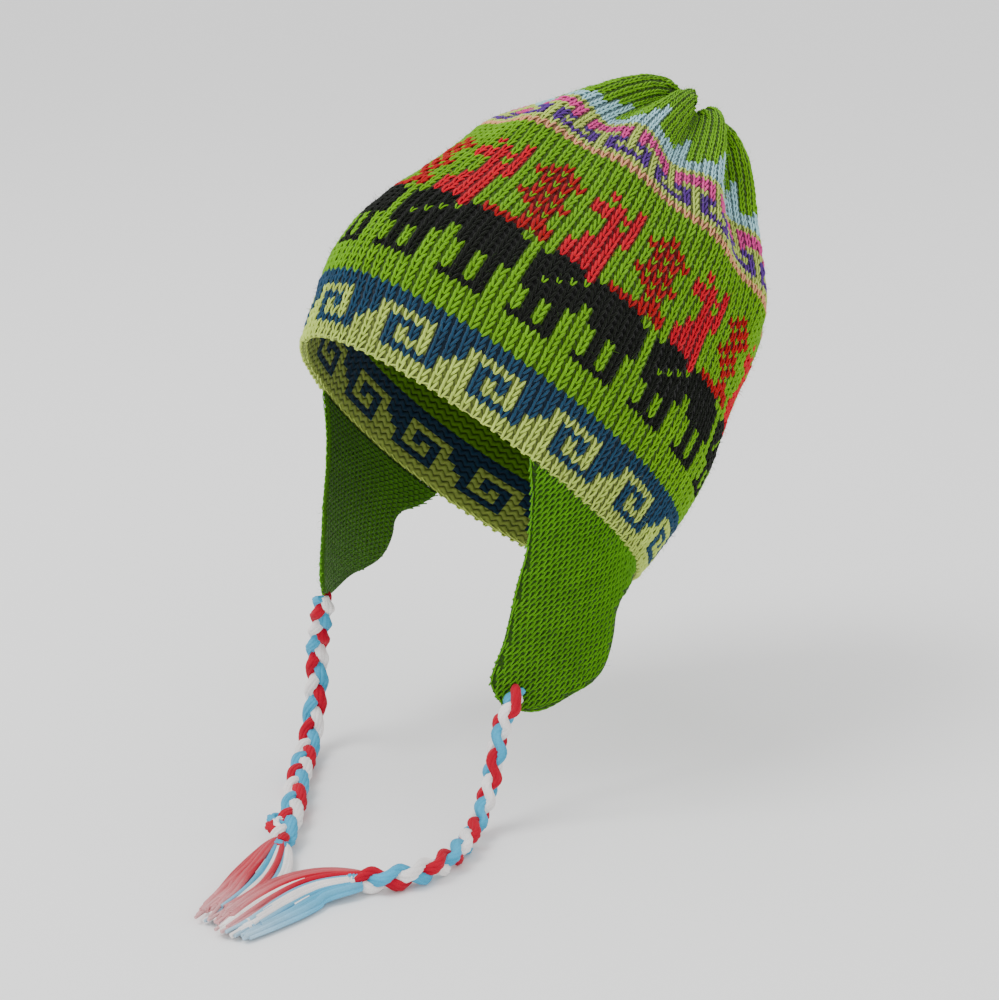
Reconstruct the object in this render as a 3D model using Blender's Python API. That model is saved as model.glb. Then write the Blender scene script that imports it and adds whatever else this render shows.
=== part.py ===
# Chullo: a knitted cap with two ear flaps, two braided ties and two tassels.
# Metres, +Z up, the face looks toward -Y and the wearer's left is +X.
# The origin is the middle of the head opening, where the wearer's head carries the cap.
import math

import bmesh
import bpy
from mathutils import Vector

# Head opening, measured over the cloth.
rim_half_width = 0.079
rim_half_length = 0.0945
forehead_taper = 0.125
side_flattening = 0.042
crown_lean = math.radians(42.9)
stitches_around = 108

# Crown.
crown_height = 0.1905
cloth_wall = 0.003
pleat_depth = 0.0055
first_wale = 10.6
plan_fade = 0.63
crown_columns = 96
crown_rings = 17

# Ear flaps.
flap_front_stitch = 19.8
flap_span_stitches = 17.7
flap_shift_stitches = 0.4
left_flap_length = 0.113
right_flap_length = 0.105
flap_wall = 0.0026
flap_inset = 0.0002
jaw_taper = 0.095
flap_columns = 10
flap_swing = {"left": 0.0, "right": 0.34}
flap_lengths = {"left": left_flap_length, "right": right_flap_length}

# Ties and tassels.
tie_diameter = 0.010
surface_level = -0.140
seam_gap = 0.0003
tie_point_step = 2.0
knot_radius = 0.0056
tassel_length = 0.060
lock_radius = 0.0031
lock_tip_radius = 0.0015
lock_sides = 6

# Crown sections from the rim to the gathered tip.
# along: share of the cloth's length, rise: share of crown_height, girth: share of the rim,
# back: share of rim_half_length, turn: stitches that the wales lean, pleat: share of pleat_depth.
crown_sections = (
    {"along": 0.000, "rise": 0.000, "girth": 1.000, "back": 0.020, "turn": 1.32, "pleat": 0.00},
    {"along": 0.077, "rise": 0.094, "girth": 1.038, "back": 0.006, "turn": 1.16, "pleat": 0.00},
    {"along": 0.154, "rise": 0.189, "girth": 1.068, "back": -0.014, "turn": 0.95, "pleat": 0.00},
    {"along": 0.231, "rise": 0.284, "girth": 1.064, "back": -0.014, "turn": 0.70, "pleat": 0.00},
    {"along": 0.308, "rise": 0.379, "girth": 1.021, "back": -0.004, "turn": 0.37, "pleat": 0.00},
    {"along": 0.385, "rise": 0.472, "girth": 0.966, "back": 0.022, "turn": -0.03, "pleat": 0.00},
    {"along": 0.461, "rise": 0.568, "girth": 0.922, "back": 0.058, "turn": -0.60, "pleat": 0.08},
    {"along": 0.538, "rise": 0.663, "girth": 0.866, "back": 0.077, "turn": -1.35, "pleat": 0.38},
    {"along": 0.577, "rise": 0.706, "girth": 0.806, "back": 0.071, "turn": -1.85, "pleat": 0.56},
    {"along": 0.615, "rise": 0.746, "girth": 0.741, "back": 0.066, "turn": -2.35, "pleat": 0.70},
    {"along": 0.654, "rise": 0.784, "girth": 0.674, "back": 0.060, "turn": -2.65, "pleat": 0.80},
    {"along": 0.692, "rise": 0.823, "girth": 0.607, "back": 0.055, "turn": -2.76, "pleat": 0.88},
    {"along": 0.769, "rise": 0.901, "girth": 0.476, "back": 0.048, "turn": -2.72, "pleat": 1.00},
    {"along": 0.846, "rise": 0.966, "girth": 0.339, "back": 0.043, "turn": -2.65, "pleat": 1.00},
    {"along": 0.923, "rise": 1.003, "girth": 0.184, "back": 0.038, "turn": -2.55, "pleat": 0.80},
    {"along": 1.000, "rise": 0.998, "girth": 0.040, "back": 0.036, "turn": -2.50, "pleat": 0.10},
)

# Pleats of the gathered top, by wale: where each valley and the ridge after it run.
pleats = (
    {"valley": -1.5, "ridge": 3.0},
    {"valley": 8.5, "ridge": 14.0},
    {"valley": 19.5, "ridge": 25.0},
    {"valley": 30.5, "ridge": 36.0},
    {"valley": 42.0, "ridge": 47.0},
    {"valley": 52.5, "ridge": 58.0},
    {"valley": 63.5, "ridge": 69.0},
    {"valley": 74.5, "ridge": 80.0},
    {"valley": 85.5, "ridge": 91.0},
    {"valley": 96.0, "ridge": 101.5},
)

# Ear flap rows from the seam to the hem, as shares of its width along the rim and of its length.
flap_rows = (
    {"front": 0.000, "front_drop": 0.000, "rear": 1.000, "rear_drop": 0.000, "belly": 0.00},
    {"front": 0.020, "front_drop": 0.100, "rear": 0.900, "rear_drop": 0.095, "belly": 0.00},
    {"front": 0.025, "front_drop": 0.220, "rear": 0.775, "rear_drop": 0.195, "belly": 0.00},
    {"front": 0.010, "front_drop": 0.360, "rear": 0.715, "rear_drop": 0.280, "belly": 0.00},
    {"front": -0.030, "front_drop": 0.500, "rear": 0.705, "rear_drop": 0.365, "belly": 0.00},
    {"front": -0.055, "front_drop": 0.620, "rear": 0.672, "rear_drop": 0.460, "belly": 0.00},
    {"front": -0.085, "front_drop": 0.750, "rear": 0.613, "rear_drop": 0.550, "belly": 0.00},
    {"front": -0.125, "front_drop": 0.860, "rear": 0.510, "rear_drop": 0.645, "belly": 0.01},
    {"front": -0.144, "front_drop": 0.940, "rear": 0.389, "rear_drop": 0.733, "belly": 0.02},
    {"front": -0.085, "front_drop": 0.985, "rear": 0.240, "rear_drop": 0.850, "belly": 0.03},
)

# Where each tie leaves its flap, and its route below that, chosen by hand.
tie_exit = {"left": {"across": -0.055, "drop": 0.985}, "right": {"across": -0.030, "drop": 0.985}}
tie_routes = {
    "left": (
        (0.0620, -0.0315, -0.1090),
        (0.0624, -0.0352, -0.1215),
        (0.0645, -0.0425, -0.1325),
        (0.0710, -0.0525, -0.1347),
        (0.0788, -0.0642, -0.1347),
        (0.0842, -0.0775, -0.1347),
        (0.0848, -0.0910, -0.1347),
        (0.0810, -0.1035, -0.1347),
        (0.0748, -0.1120, -0.1347),
    ),
    "right": (
        (-0.0580, -0.0372, -0.0930),
        (-0.0580, -0.0380, -0.1100),
        (-0.0560, -0.0415, -0.1240),
        (-0.0500, -0.0480, -0.1325),
        (-0.0400, -0.0575, -0.1347),
        (-0.0185, -0.0760, -0.1347),
        (0.0044, -0.0940, -0.1347),
        (0.0205, -0.1085, -0.1347),
        (0.0300, -0.1178, -0.1347),
    ),
}

# Tassel spines on the surface, as steps from the tie's end in tassel lengths.
tassel_spines = {
    "left": ((-0.15, -0.24), (-0.10, -0.55), (0.04, -0.98)),
    "right": ((0.20, -0.25), (0.37, -0.52), (0.48, -0.88)),
}

# Locks of a tassel: side: share of the spread at the tip, reach: share of the length,
# lift: lock radii above the lowest layer.
tassel_spread = 0.0050
tassel_locks = (
    {"side": -1.00, "reach": 0.90, "lift": 0.0},
    {"side": -0.50, "reach": 1.00, "lift": 0.3},
    {"side": 0.00, "reach": 0.96, "lift": 0.0},
    {"side": 0.50, "reach": 1.02, "lift": 0.3},
    {"side": 1.00, "reach": 0.92, "lift": 0.0},
    {"side": -0.25, "reach": 0.84, "lift": 1.2},
    {"side": 0.30, "reach": 0.88, "lift": 1.2},
)


def clear_scene():
    for item in list(bpy.data.objects):
        bpy.data.objects.remove(item, do_unlink=True)


def smooth_value(rows, key, name, x):
    """Reads one column of a table along another, on a smooth curve through its rows."""
    last = len(rows) - 1
    k = 0
    while k < last - 1 and x > rows[k + 1][key]:
        k += 1
    x0 = rows[k][key]
    x1 = rows[k + 1][key]
    y0 = rows[k][name]
    y1 = rows[k + 1][name]
    slope = (y1 - y0) / (x1 - x0)
    before = slope
    after = slope
    if k > 0:
        before = (y1 - rows[k - 1][name]) / (x1 - rows[k - 1][key])
    if k < last - 1:
        after = (rows[k + 2][name] - y0) / (rows[k + 2][key] - x0)
    t = (x - x0) / (x1 - x0)
    span = x1 - x0
    a = y0 * (2 * t ** 3 - 3 * t ** 2 + 1) + before * span * (t ** 3 - 2 * t ** 2 + t)
    b = y1 * (3 * t ** 2 - 2 * t ** 3) + after * span * (t ** 3 - t ** 2)
    return a + b


def plan_point(angle, fade):
    """Head plan over the cloth: narrower at the forehead, a little flat at the sides."""
    x = rim_half_width * math.sin(angle) * (1 - forehead_taper * fade * math.cos(angle))
    y = -rim_half_length * math.cos(angle) * (1 - side_flattening * fade * math.sin(angle) ** 2)
    return Vector((x, y, 0.0))


def plan_normal(angle, fade):
    step = 0.01
    along = plan_point(angle + step, fade) - plan_point(angle - step, fade)
    return Vector((along.y, -along.x, 0.0)).normalized()


def make_angle_table(count):
    """Angles at equal steps round the rim, one per stitch."""
    fine = 2160
    lengths = [0.0]
    for k in range(fine):
        a = plan_point(2 * math.pi * k / fine, 1.0)
        b = plan_point(2 * math.pi * (k + 1) / fine, 1.0)
        lengths.append(lengths[-1] + (b - a).length)
    angles = []
    k = 0
    for n in range(count + 1):
        goal = lengths[-1] * n / count
        while k < fine - 1 and lengths[k + 1] < goal:
            k += 1
        part = (goal - lengths[k]) / (lengths[k + 1] - lengths[k])
        angles.append(2 * math.pi * (k + part) / fine)
    return angles


angle_table = make_angle_table(stitches_around * 4)


def stitch_angle(stitch):
    place = stitch / stitches_around
    turns = math.floor(place)
    place = (place - turns) * (len(angle_table) - 1)
    k = min(int(place), len(angle_table) - 2)
    part = place - k
    return 2 * math.pi * turns + angle_table[k] * (1 - part) + angle_table[k + 1] * part


def lean(point):
    """From the cap's own axis to the worn attitude, with the forehead edge raised."""
    c = math.cos(crown_lean)
    s = math.sin(crown_lean)
    return Vector((point.x, point.y * c + point.z * s, -point.y * s + point.z * c))


def pleat_wave(wale):
    """+1 on a ridge, -1 in a valley, smooth between them."""
    marks = []
    for row in pleats:
        marks.append((row["valley"], -1.0))
        marks.append((row["ridge"], 1.0))
    marks.append((pleats[0]["valley"] + stitches_around, -1.0))
    place = wale
    while place < marks[0][0]:
        place += stitches_around
    while place >= marks[-1][0]:
        place -= stitches_around
    for (w0, h0), (w1, h1) in zip(marks, marks[1:]):
        if w0 <= place < w1:
            t = (place - w0) / (w1 - w0)
            return h0 + (h1 - h0) * (1 - math.cos(math.pi * t)) / 2
    return -1.0


def crown_point(wale, along, inset):
    """A point of the crown's cloth on its own axis; inset goes into the wall."""
    girth = smooth_value(crown_sections, "along", "girth", along)
    rise = smooth_value(crown_sections, "along", "rise", along) * crown_height
    back = smooth_value(crown_sections, "along", "back", along) * rim_half_length
    turn = smooth_value(crown_sections, "along", "turn", along)
    pleat = smooth_value(crown_sections, "along", "pleat", along) * pleat_depth
    step = 0.01
    low = max(0.0, along - step)
    high = min(1.0, along + step)
    d_rise = (smooth_value(crown_sections, "along", "rise", high)
              - smooth_value(crown_sections, "along", "rise", low)) * crown_height
    d_girth = (smooth_value(crown_sections, "along", "girth", high)
               - smooth_value(crown_sections, "along", "girth", low))
    d_out = d_girth * (rim_half_width + rim_half_length) / 2
    size = math.hypot(d_rise, d_out)
    out = d_rise / size
    up = -d_out / size
    fade = max(0.0, 1 - along / plan_fade)
    angle = stitch_angle(first_wale + wale + turn)
    flat = plan_point(angle, fade) * girth
    side = plan_normal(angle, fade)
    push = pleat * pleat_wave(wale) - inset
    point = flat + side * (push * out) + Vector((0.0, back, rise + push * up))
    if along <= 0.0:
        point.z = 0.0
    return point


def new_material(name, colour, roughness):
    material = bpy.data.materials.new(name)
    material.use_nodes = True
    shader = material.node_tree.nodes["Principled BSDF"]
    shader.inputs["Base Color"].default_value = (*colour, 1.0)
    shader.inputs["Roughness"].default_value = roughness
    return material


def add_piece(name, verts, faces, material):
    mesh = bpy.data.meshes.new(name)
    mesh.from_pydata([tuple(v) for v in verts], [], faces)
    piece = bpy.data.objects.new(name, mesh)
    bpy.context.scene.collection.objects.link(piece)
    finish_mesh(piece, material)
    return piece


def finish_mesh(piece, material):
    mesh = piece.data
    shape = bmesh.new()
    shape.from_mesh(mesh)
    bmesh.ops.remove_doubles(shape, verts=shape.verts, dist=0.00002)
    bmesh.ops.recalc_face_normals(shape, faces=shape.faces)
    shape.to_mesh(mesh)
    shape.free()
    mesh.materials.clear()
    mesh.materials.append(material)
    mesh.shade_smooth()
    mesh.set_sharp_from_angle(angle=math.radians(50))


def make_crown(material):
    """The knitted crown: one open shell with its pleated, gathered top."""
    verts = []
    faces = []
    columns = crown_columns
    rings = crown_rings
    for inset in (0.0, cloth_wall):
        for i in range(rings):
            along = i / (rings - 1)
            for j in range(columns):
                wale = stitches_around * j / columns
                verts.append(lean(crown_point(wale, along, inset)))
    side = rings * columns
    tops = []
    for layer in range(2):
        ring = verts[layer * side + (rings - 1) * columns:layer * side + rings * columns]
        middle = Vector((0.0, 0.0, 0.0))
        for v in ring:
            middle += v
        tops.append(middle / columns)
    outer_tip = len(verts)
    verts.append(tops[0])
    inner_tip = len(verts)
    verts.append(tops[1])
    for i in range(rings - 1):
        for j in range(columns):
            k = (j + 1) % columns
            a = i * columns
            b = (i + 1) * columns
            faces.append((a + j, a + k, b + k, b + j))
            faces.append((side + a + k, side + a + j, side + b + j, side + b + k))
    last = (rings - 1) * columns
    for j in range(columns):
        k = (j + 1) % columns
        faces.append((last + j, last + k, outer_tip))
        faces.append((side + last + k, side + last + j, inner_tip))
        faces.append((k, j, side + j, side + k))
    return add_piece("crown", verts, faces, material)


def rim_point(stitch, inset, drop):
    """A point of the rim's lower edge, drop metres below it on the cap's axis."""
    angle = stitch_angle(stitch)
    back = crown_sections[0]["back"] * rim_half_length
    flat = plan_point(angle, 1.0) - plan_normal(angle, 1.0) * inset
    return lean(flat + Vector((0.0, back, -drop)))


def flap_point(name, across, drop, inset):
    """A point of an ear flap; inset goes into its cloth from the outer face."""
    sign = 1.0 if name == "left" else -1.0
    shift = flap_shift_stitches * sign
    start = flap_front_stitch + shift
    across = across - flap_swing[name] * drop ** 1.5
    top = rim_point(sign * (start + across * flap_span_stitches), flap_inset, seam_gap)
    fall = drop * flap_lengths[name]
    point = top + Vector((-sign * jaw_taper * fall, 0.0, -fall))
    if inset <= 0.0:
        return point
    step = 0.02
    ahead = rim_point(sign * (start + (across + step) * flap_span_stitches), flap_inset, 0.0)
    behind = rim_point(sign * (start + (across - step) * flap_span_stitches), flap_inset, 0.0)
    run = (ahead - behind).normalized()
    down = Vector((-sign * jaw_taper, 0.0, -1.0)).normalized()
    normal = run.cross(down).normalized()
    if normal.x * sign < 0.0:
        normal = -normal
    inner = point - normal * inset
    seam = rim_point(sign * (start + across * flap_span_stitches), flap_inset + inset, seam_gap)
    blend = min(1.0, drop / 0.12)
    return (seam + Vector((-sign * jaw_taper * fall, 0.0, -fall))) * (1 - blend) + inner * blend


def make_flap(name, material):
    """An ear flap: a rounded sheet that hangs from the rim and follows the jaw."""
    rows = []
    for k, row in enumerate(flap_rows):
        rows.append(dict(row, station=float(k)))
    stations = []
    for k in range(len(rows) - 1):
        stations.append(float(k))
        stations.append(k + 0.5)
    stations.append(float(len(rows) - 1))
    count = flap_columns
    verts = []
    for inset in (0.0, flap_wall):
        for station in stations:
            value = {}
            for key in ("front", "front_drop", "rear", "rear_drop", "belly"):
                value[key] = smooth_value(rows, "station", key, station)
            for j in range(count + 1):
                u = j / count
                across = value["front"] + (value["rear"] - value["front"]) * u
                drop = value["front_drop"] + (value["rear_drop"] - value["front_drop"]) * u
                drop += value["belly"] * math.sin(math.pi * u)
                verts.append(flap_point(name, across, max(0.0, drop), inset))
    faces = []
    width = count + 1
    high = len(stations)
    side = width * high
    for i in range(high - 1):
        for j in range(count):
            a = i * width + j
            b = a + width
            faces.append((a, a + 1, b + 1, b))
            faces.append((side + a + 1, side + a, side + b, side + b + 1))
    for j in range(count):
        faces.append((j + 1, j, side + j, side + j + 1))
        a = (high - 1) * width + j
        faces.append((a, a + 1, side + a + 1, side + a))
    for i in range(high - 1):
        a = i * width
        b = a + width
        faces.append((a, b, side + b, side + a))
        a += count
        b += count
        faces.append((b, a, side + a, side + b))
    return add_piece("ear_flap_" + name, verts, faces, material)


def smooth_route(points, step):
    """Points at equal steps on a smooth curve through the given ones."""
    fine = [points[0]]
    ends = [points[0] * 2 - points[1]] + list(points) + [points[-1] * 2 - points[-2]]
    for k in range(1, len(ends) - 2):
        p0, p1, p2, p3 = ends[k - 1], ends[k], ends[k + 1], ends[k + 2]
        for n in range(1, 25):
            t = n / 24
            a = p1 * 2 + (p2 - p0) * t
            b = (p0 * 2 - p1 * 5 + p2 * 4 - p3) * t ** 2
            c = (p1 * 3 - p0 - p2 * 3 + p3) * t ** 3
            fine.append((a + b + c) / 2)
    total = sum((b - a).length for a, b in zip(fine, fine[1:]))
    count = max(2, round(total / step))
    result = [fine[0]]
    walked = 0.0
    goal = total / count
    for a, b in zip(fine, fine[1:]):
        length = (b - a).length
        while walked + length >= goal * len(result) and len(result) < count:
            t = (goal * len(result) - walked) / length
            result.append(a.lerp(b, t))
        walked += length
    result.append(fine[-1])
    return result


def tie_start(name):
    """Middle of the tie's upper end, just clear of the flap's hem, and the way it leaves."""
    place = tie_exit[name]
    middle = (flap_point(name, place["across"], place["drop"], 0.0)
              + flap_point(name, place["across"], place["drop"], flap_wall)) / 2
    away = (Vector(tie_routes[name][0]) - middle).normalized()
    reach = 0.0
    for point in hem_line(name):
        step = point - middle
        ahead = step.dot(away)
        aside = (step - away * ahead).length
        if aside < tie_diameter / 2 + seam_gap:
            reach = max(reach, ahead)
    return middle + away * (reach + seam_gap * 2), away


def hem_line(name):
    """Points of the flap's hem, on both faces of its cloth."""
    row = flap_rows[-1]
    line = []
    for k in range(41):
        u = k / 40
        across = row["front"] + (row["rear"] - row["front"]) * u
        drop = row["front_drop"] + (row["rear_drop"] - row["front_drop"]) * u
        drop += row["belly"] * math.sin(math.pi * u)
        line.append(flap_point(name, across, drop, 0.0))
        line.append(flap_point(name, across, drop, flap_wall))
    return line


def tie_path(name):
    start, away = tie_start(name)
    points = [start, start + away * tie_diameter * 0.8]
    for place in tie_routes[name]:
        points.append(Vector(place))
    return points


def make_tube(name, points, radius, material):
    curve = bpy.data.curves.new(name, "CURVE")
    curve.dimensions = "3D"
    curve.bevel_depth = radius
    curve.bevel_resolution = 2
    curve.use_fill_caps = True
    spline = curve.splines.new("POLY")
    spline.points.add(len(points) - 1)
    for k, point in enumerate(points):
        spline.points[k].co = (point.x, point.y, point.z, 1.0)
    maker = bpy.data.objects.new(name + "_curve", curve)
    bpy.context.scene.collection.objects.link(maker)
    bpy.context.view_layer.update()
    graph = bpy.context.evaluated_depsgraph_get()
    mesh = bpy.data.meshes.new_from_object(maker.evaluated_get(graph))
    bpy.data.objects.remove(maker, do_unlink=True)
    mesh.name = name
    piece = bpy.data.objects.new(name, mesh)
    bpy.context.scene.collection.objects.link(piece)
    finish_mesh(piece, material)
    return piece


def make_tie(name, material):
    route = smooth_route(tie_path(name), tie_point_step * tie_diameter)
    return make_tube("tie_" + name, route, tie_diameter / 2, material), route


def lock_mesh(points, radii, sides):
    """A closed tapering lock along points that lie on the surface."""
    verts = []
    faces = []
    count = len(points)
    for k, point in enumerate(points):
        ahead = points[min(k + 1, count - 1)] - points[max(k - 1, 0)]
        run = ahead.normalized()
        side = run.cross(Vector((0.0, 0.0, 1.0))).normalized()
        up = side.cross(run)
        for n in range(sides):
            angle = 2 * math.pi * n / sides
            verts.append(point + side * (radii[k] * math.cos(angle)) + up * (radii[k] * math.sin(angle)))
    for k in range(count - 1):
        for n in range(sides):
            m = (n + 1) % sides
            a = k * sides
            b = a + sides
            faces.append((a + n, a + m, b + m, b + n))
    faces.append(tuple(reversed(range(sides))))
    faces.append(tuple(range((count - 1) * sides, count * sides)))
    return verts, faces


def knot_mesh(middle, radius, run):
    """The wound knot at the tie's end, cut square toward the tie."""
    side = run.cross(Vector((0.0, 0.0, 1.0))).normalized()
    up = side.cross(run)
    verts = []
    faces = []
    profile = ((0.0, 0.80), (0.35, 0.80), (0.9, 0.80), (1.5, 0.74), (1.9, 0.62))
    sides = 12
    for reach, size in profile:
        for n in range(sides):
            angle = 2 * math.pi * (n + 0.5) / sides
            out = side * (radius * size * math.cos(angle)) + up * (radius * size * math.sin(angle))
            verts.append(middle + run * (radius * reach) + out)
    for k in range(len(profile) - 1):
        for n in range(sides):
            m = (n + 1) % sides
            a = k * sides
            b = a + sides
            faces.append((a + n, a + m, b + m, b + n))
    faces.append(tuple(reversed(range(sides))))
    faces.append(tuple(range((len(profile) - 1) * sides, len(profile) * sides)))
    return verts, faces


def join_solids(name, solids, material):
    """Fuses closed solids that run into each other into one closed body."""
    base = None
    for k, (verts, faces) in enumerate(solids):
        piece = add_piece(name if k == 0 else name + "_lock", verts, faces, material)
        if base is None:
            base = piece
            continue
        joiner = base.modifiers.new("join", "BOOLEAN")
        joiner.operation = "UNION"
        joiner.solver = "EXACT"
        joiner.object = piece
        bpy.context.view_layer.update()
        graph = bpy.context.evaluated_depsgraph_get()
        mesh = bpy.data.meshes.new_from_object(base.evaluated_get(graph))
        base.modifiers.clear()
        base.data = mesh
        bpy.data.objects.remove(piece, do_unlink=True)
    finish_mesh(base, material)
    return base


def make_tassel(name, route, material):
    """A loose tassel that lies flat past the knot at the tie's end."""
    end = route[-1]
    run = route[-1] - route[-2]
    run.z = 0.0
    run.normalize()
    floor = surface_level + seam_gap
    knot_middle = end + run * seam_gap
    spine = [Vector((end.x, end.y, 0.0)) + run * (knot_radius * 1.0)]
    for dx, dy in tassel_spines[name]:
        spine.append(Vector((end.x + dx * tassel_length, end.y + dy * tassel_length, 0.0)))
    line = smooth_route(spine, tassel_length / 6)
    total = len(line) - 1
    solids = [knot_mesh(knot_middle, knot_radius, run)]
    for lock in tassel_locks:
        points = []
        radii = []
        for k in range(7):
            t = k / 6 * lock["reach"]
            place = min(t, 0.999) * total
            n = int(place)
            point = line[n].lerp(line[n + 1], place - n)
            if t > 1.0:
                point = point + (line[-1] - line[-2]) * (t - 1.0) * total
            ahead = (line[min(n + 1, total)] - line[max(n - 1, 0)]).normalized()
            across = Vector((-ahead.y, ahead.x, 0.0))
            point = point + across * (tassel_spread * lock["side"] * t ** 0.7)
            size = lock_radius + (lock_tip_radius - lock_radius) * (k / 6)
            start = end.z
            low = floor + size + lock["lift"] * size
            ease = min(1.0, t / 0.35)
            point.z = start + (low - start) * ease
            points.append(point)
            radii.append(size)
        solids.append(lock_mesh(points, radii, lock_sides))
    return join_solids("tassel_" + name, solids, material)


def main():
    clear_scene()
    knit = new_material("green knit", (0.14, 0.36, 0.01), 0.95)
    flap_knit = new_material("flap knit", (0.13, 0.34, 0.01), 0.95)
    braid = new_material("braided yarn", (0.52, 0.03, 0.06), 0.9)
    yarn = new_material("tassel yarn", (0.45, 0.55, 0.62), 0.9)
    make_crown(knit)
    for name in ("left", "right"):
        make_flap(name, flap_knit)
        _, route = make_tie(name, braid)
        make_tassel(name, route, yarn)


main()
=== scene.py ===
import math

import bpy
import numpy as np
from mathutils import Matrix, Vector


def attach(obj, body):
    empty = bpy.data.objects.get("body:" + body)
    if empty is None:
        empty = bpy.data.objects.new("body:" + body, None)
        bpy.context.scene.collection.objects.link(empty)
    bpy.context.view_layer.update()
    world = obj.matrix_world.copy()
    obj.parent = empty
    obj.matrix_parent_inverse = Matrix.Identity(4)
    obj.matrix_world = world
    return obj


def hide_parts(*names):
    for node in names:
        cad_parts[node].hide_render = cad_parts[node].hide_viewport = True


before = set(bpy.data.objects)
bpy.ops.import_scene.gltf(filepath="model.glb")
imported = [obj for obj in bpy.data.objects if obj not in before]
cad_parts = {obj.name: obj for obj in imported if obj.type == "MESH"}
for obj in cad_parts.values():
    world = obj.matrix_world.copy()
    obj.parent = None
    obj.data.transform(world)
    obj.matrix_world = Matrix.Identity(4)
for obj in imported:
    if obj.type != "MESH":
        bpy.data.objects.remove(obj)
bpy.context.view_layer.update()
print("frame loaded")

sides = {"left": 1, "right": -1}  # the wearer's, with the sign of x there


# Camera, at the photograph's viewing angle
view = {
    "target": (0.02612, 0.0, -0.01204),
    "azimuth": 50.67,  # degrees round from the front
    "elevation": 16.0,
    "distance": 0.90069,
    "lens": 76.87,  # mm
    "sensor": 36,  # mm, its height
    "floor": -0.140,  # what the ties lie on
}


def addCamera():
    azimuth, elevation = math.radians(view["azimuth"]), math.radians(view["elevation"])
    back = Vector((math.sin(azimuth) * math.cos(elevation),
                   -math.cos(azimuth) * math.cos(elevation), math.sin(elevation)))
    right = Vector((math.cos(azimuth), math.sin(azimuth), 0))
    up = back.cross(right)
    data = bpy.data.cameras.new("camera")
    data.sensor_fit = "VERTICAL"
    data.sensor_height = view["sensor"]
    data.lens = view["lens"]
    camera = bpy.data.objects.new("camera", data)
    bpy.context.scene.collection.objects.link(camera)
    place = Matrix((right, up, back)).transposed().to_4x4()
    place.translation = Vector(view["target"]) + back * view["distance"]
    camera.matrix_world = place
    bpy.context.scene.camera = camera


addCamera()


# Node trees: maths as expressions on sockets, and one method that adds any other node
class Value:
    def __init__(self, tree, socket):
        self.tree, self.socket = tree, socket

    def maths(self, operation, a, b=None):
        node = self.tree.nodes.new("ShaderNodeMath")
        node.operation = operation
        for k, v in enumerate((a, b)):
            if isinstance(v, Value):
                self.tree.links.new(v.socket, node.inputs[k])
            elif v is not None:
                node.inputs[k].default_value = v
        return Value(self.tree, node.outputs[0])

    def __add__(self, other):
        return self.maths("ADD", self, other)

    __radd__ = __add__

    def __mul__(self, other):
        return self.maths("MULTIPLY", self, other)

    __rmul__ = __mul__

    def __sub__(self, other):
        return self.maths("SUBTRACT", self, other)

    def __rsub__(self, other):
        return self.maths("SUBTRACT", other, self)

    def __truediv__(self, other):
        return self.maths("DIVIDE", self, other)

    def __rtruediv__(self, other):
        return self.maths("DIVIDE", other, self)

    def power(self, other):
        return self.maths("POWER", self, other)

    def sine(self):
        return self.maths("SINE", self)

    def size(self):
        return self.maths("ABSOLUTE", self)


class Nodes:
    def __init__(self, tree):
        self.tree = tree

    def plug(self, socket, source):
        # The source is a number or colour, a value, another socket, or a node by its first output
        if isinstance(source, Value):
            source = source.socket
        elif isinstance(source, bpy.types.Node):
            source = source.outputs[0]
        if isinstance(source, bpy.types.NodeSocket):
            self.tree.links.new(source, socket)
        else:
            socket.default_value = source

    def add(self, kind, settings=None, **sockets):
        # A socket goes by its name, with _ for a space, or by its place, such as at2
        node = self.tree.nodes.new(kind)
        for key, value in (settings or {}).items():
            setattr(node, key, value)
        for key, source in sockets.items():
            byPlace = key.startswith("at") and key[2:].isdigit()
            self.plug(node.inputs[int(key[2:]) if byPlace else key.replace("_", " ")], source)
        return node

    def value(self, source):
        return Value(self.tree, source.outputs[0] if isinstance(source, bpy.types.Node) else source)


class Look(Nodes):
    # A material under construction
    def __init__(self, name):
        self.material = bpy.data.materials.new(name)
        self.material.use_nodes = True
        super().__init__(self.material.node_tree)
        self.shader = self.tree.nodes["Principled BSDF"]

    def shaded(self, colour, shade):
        grey = self.add("ShaderNodeCombineColor", at0=shade, at1=shade, at2=shade)
        mix = self.add("ShaderNodeMix", {"data_type": "RGBA", "blend_type": "MULTIPLY"},
                       at0=1.0, at6=colour, at7=grey)
        return mix.outputs[2]

    def finish(self, sockets):
        for name, source in sockets.items():
            self.plug(self.shader.inputs[name], source)
        return self.material


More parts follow.
